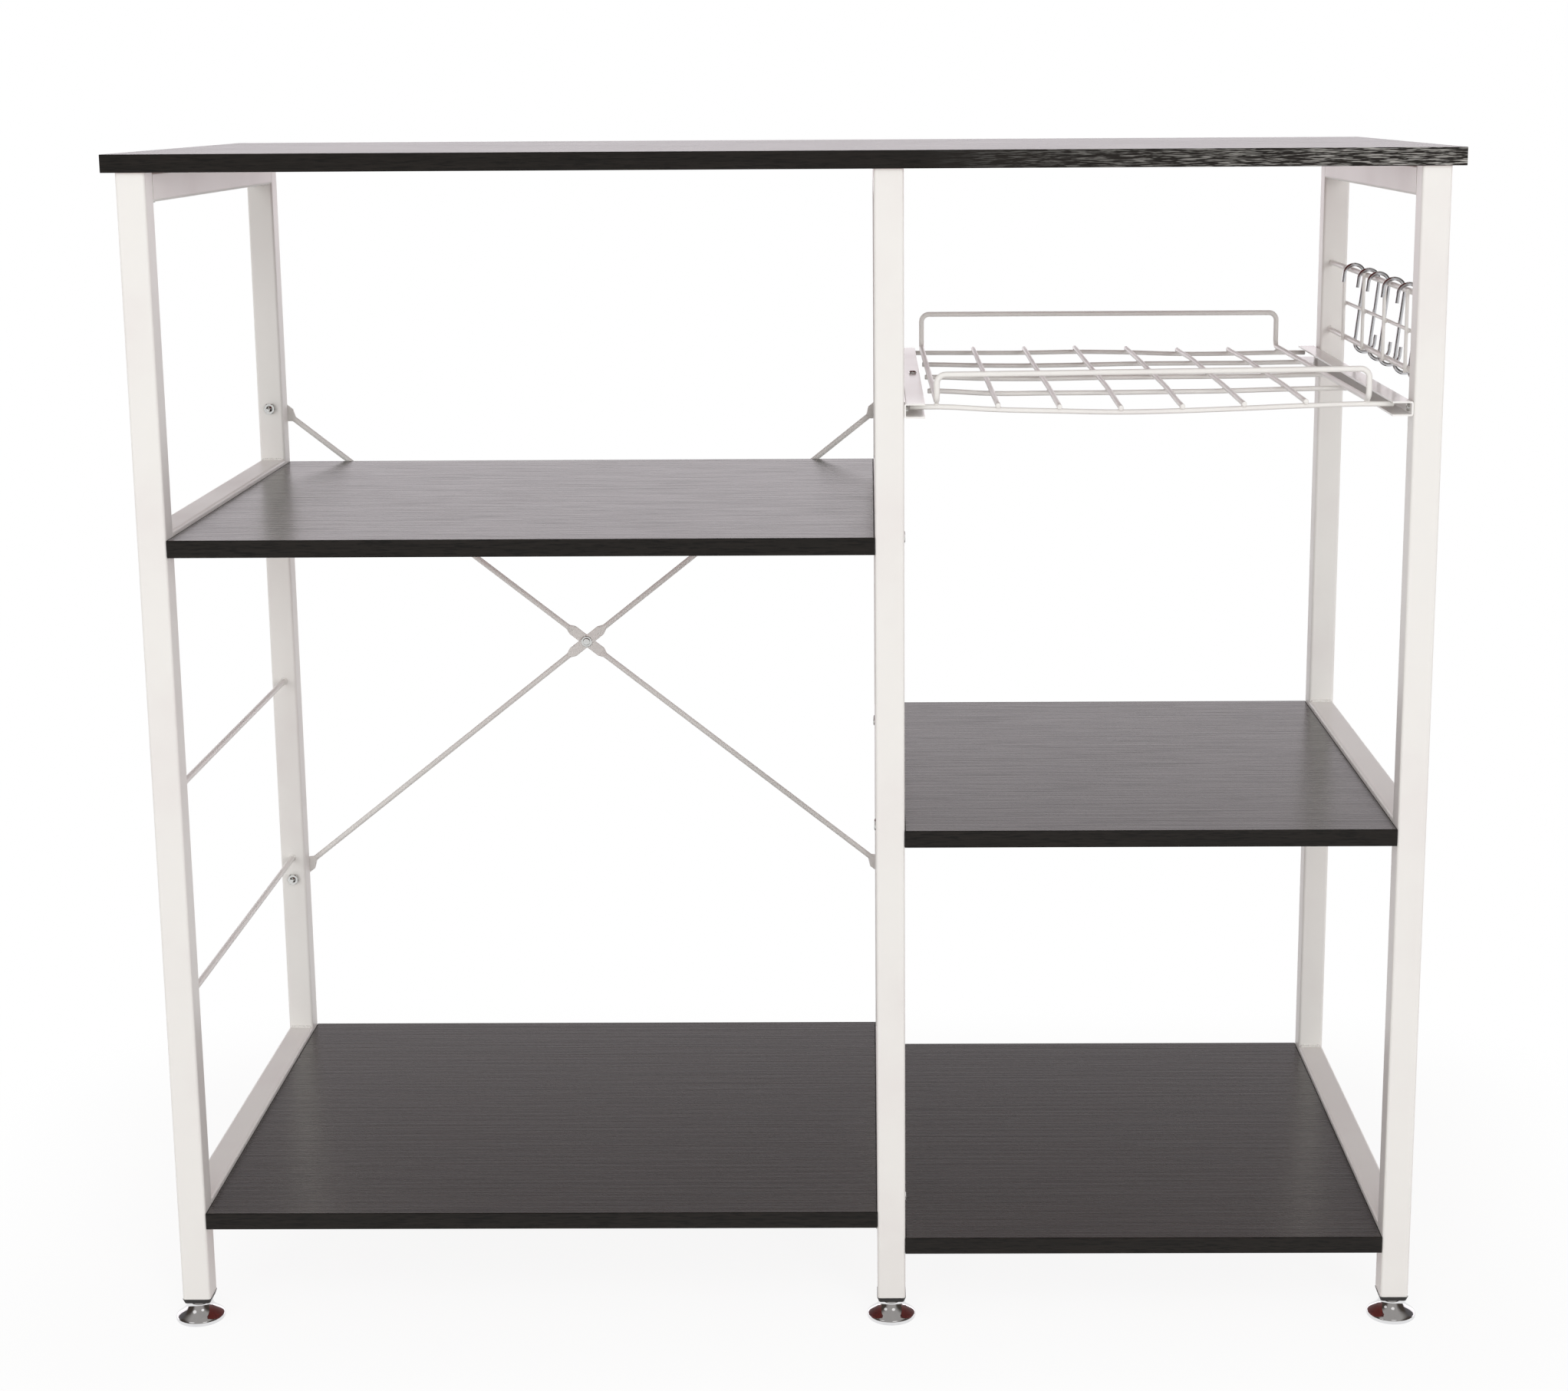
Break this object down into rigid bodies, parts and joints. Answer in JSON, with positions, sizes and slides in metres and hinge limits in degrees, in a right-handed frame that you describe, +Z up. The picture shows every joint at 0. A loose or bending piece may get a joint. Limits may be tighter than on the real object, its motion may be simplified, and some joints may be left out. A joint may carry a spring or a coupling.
{
  "type": "storage rack",
  "caption": "Square-tube steel rack with wood-grain boards, a braced back, a sliding wire basket, a hook rail with S-hooks, and screw feet.",
  "frame": {"origin": "on the floor under the middle of the frames", "axes": "+X to the right, +Y to the back, +Z up"},
  "size_m": [0.9, 0.415, 0.83],
  "materials": {
    "frame_paint": "satin white powder coat",
    "wire_paint": "satin white powder coat on wire and rod",
    "board": "dark wood-grain melamine on particle board",
    "chrome": "bright chrome plate",
    "zinc": "bright zinc plate",
    "black_plastic": "moulded black"
  },
  "bodies": {
    "rack": {"brace_bolts": "zinc", "brace_falling_rod": "wire_paint", "brace_nuts": "zinc", "brace_rising_rod": "wire_paint", "brace_rivet": "zinc", "grid_lower_rod": "wire_paint", "grid_middle_rod": "wire_paint", "grid_top_rod": "wire_paint", "grid_upright_wires": "wire_paint", "left_back_post": "frame_paint", "left_bottom_shelf": "board", "left_frame_left_bottom_rail": "frame_paint", "left_frame_left_mid_rail": "frame_paint", "left_frame_top_rail": "frame_paint", "left_front_post": "frame_paint", "left_lower_guard_rod": "wire_paint", "left_mid_shelf": "board", "left_runner": "frame_paint", "left_shelf_screws": "zinc", "left_upper_guard_rod": "wire_paint", "middle_back_post": "frame_paint", "middle_frame_left_bottom_rail": "frame_paint", "middle_frame_left_mid_rail": "frame_paint", "middle_frame_right_bottom_rail": "frame_paint", "middle_frame_right_mid_rail": "frame_paint", "middle_frame_top_rail": "frame_paint", "middle_front_post": "frame_paint", "post_plugs": "black_plastic", "right_back_post": "frame_paint", "right_bottom_shelf": "board", "right_frame_right_bottom_rail": "frame_paint", "right_frame_right_mid_rail": "frame_paint", "right_frame_top_rail": "frame_paint", "right_front_post": "frame_paint", "right_mid_shelf": "board", "right_runner": "frame_paint", "right_shelf_screws": "zinc", "runner_screws": "zinc", "top_board": "board", "top_board_screws": "zinc"},
    "basket": {"basket_cross_wires": "wire_paint", "basket_long_wires": "wire_paint", "basket_rim": "wire_paint"},
    "s_hook_1": {"hook_1": "chrome"},
    "s_hook_2": {"hook_2": "chrome"},
    "s_hook_3": {"hook_3": "chrome"},
    "s_hook_4": {"hook_4": "chrome"},
    "s_hook_5": {"hook_5": "chrome"},
    "left_front_screw_foot": {"left_front_foot": "chrome"},
    "left_back_screw_foot": {"left_back_foot": "chrome"},
    "middle_front_screw_foot": {"middle_front_foot": "chrome"},
    "middle_back_screw_foot": {"middle_back_foot": "chrome"},
    "right_front_screw_foot": {"right_front_foot": "chrome"},
    "right_back_screw_foot": {"right_back_foot": "chrome"}
  },
  "joints": [
    {"name": "basket_slide", "type": "slide", "parent": "rack", "child": "basket", "axis": [0, -1, 0], "range_m": [0, 0.28]},
    {"name": "hook_1_swing", "type": "hinge", "parent": "rack", "child": "s_hook_1", "pos_m": [0.429, -0.123, 0.7313], "axis": [0, -1, 0], "range_deg": [0, 60]},
    {"name": "hook_2_swing", "type": "hinge", "parent": "rack", "child": "s_hook_2", "pos_m": [0.429, -0.069, 0.7313], "axis": [0, -1, 0], "range_deg": [0, 60]},
    {"name": "hook_3_swing", "type": "hinge", "parent": "rack", "child": "s_hook_3", "pos_m": [0.429, -0.011, 0.7313], "axis": [0, -1, 0], "range_deg": [0, 60]},
    {"name": "hook_4_swing", "type": "hinge", "parent": "rack", "child": "s_hook_4", "pos_m": [0.429, 0.029, 0.7313], "axis": [0, -1, 0], "range_deg": [0, 60]},
    {"name": "hook_5_swing", "type": "hinge", "parent": "rack", "child": "s_hook_5", "pos_m": [0.429, 0.089, 0.7313], "axis": [0, -1, 0], "range_deg": [0, 60]},
    {"name": "left_front_foot_height", "type": "slide", "parent": "rack", "child": "left_front_screw_foot", "axis": [0, 0, -1], "range_m": [0, 0.012]},
    {"name": "left_back_foot_height", "type": "slide", "parent": "rack", "child": "left_back_screw_foot", "axis": [0, 0, -1], "range_m": [0, 0.012]},
    {"name": "middle_front_foot_height", "type": "slide", "parent": "rack", "child": "middle_front_screw_foot", "axis": [0, 0, -1], "range_m": [0, 0.012]},
    {"name": "middle_back_foot_height", "type": "slide", "parent": "rack", "child": "middle_back_screw_foot", "axis": [0, 0, -1], "range_m": [0, 0.012]},
    {"name": "right_front_foot_height", "type": "slide", "parent": "rack", "child": "right_front_screw_foot", "axis": [0, 0, -1], "range_m": [0, 0.012]},
    {"name": "right_back_foot_height", "type": "slide", "parent": "rack", "child": "right_back_screw_foot", "axis": [0, 0, -1], "range_m": [0, 0.012]}
  ]
}
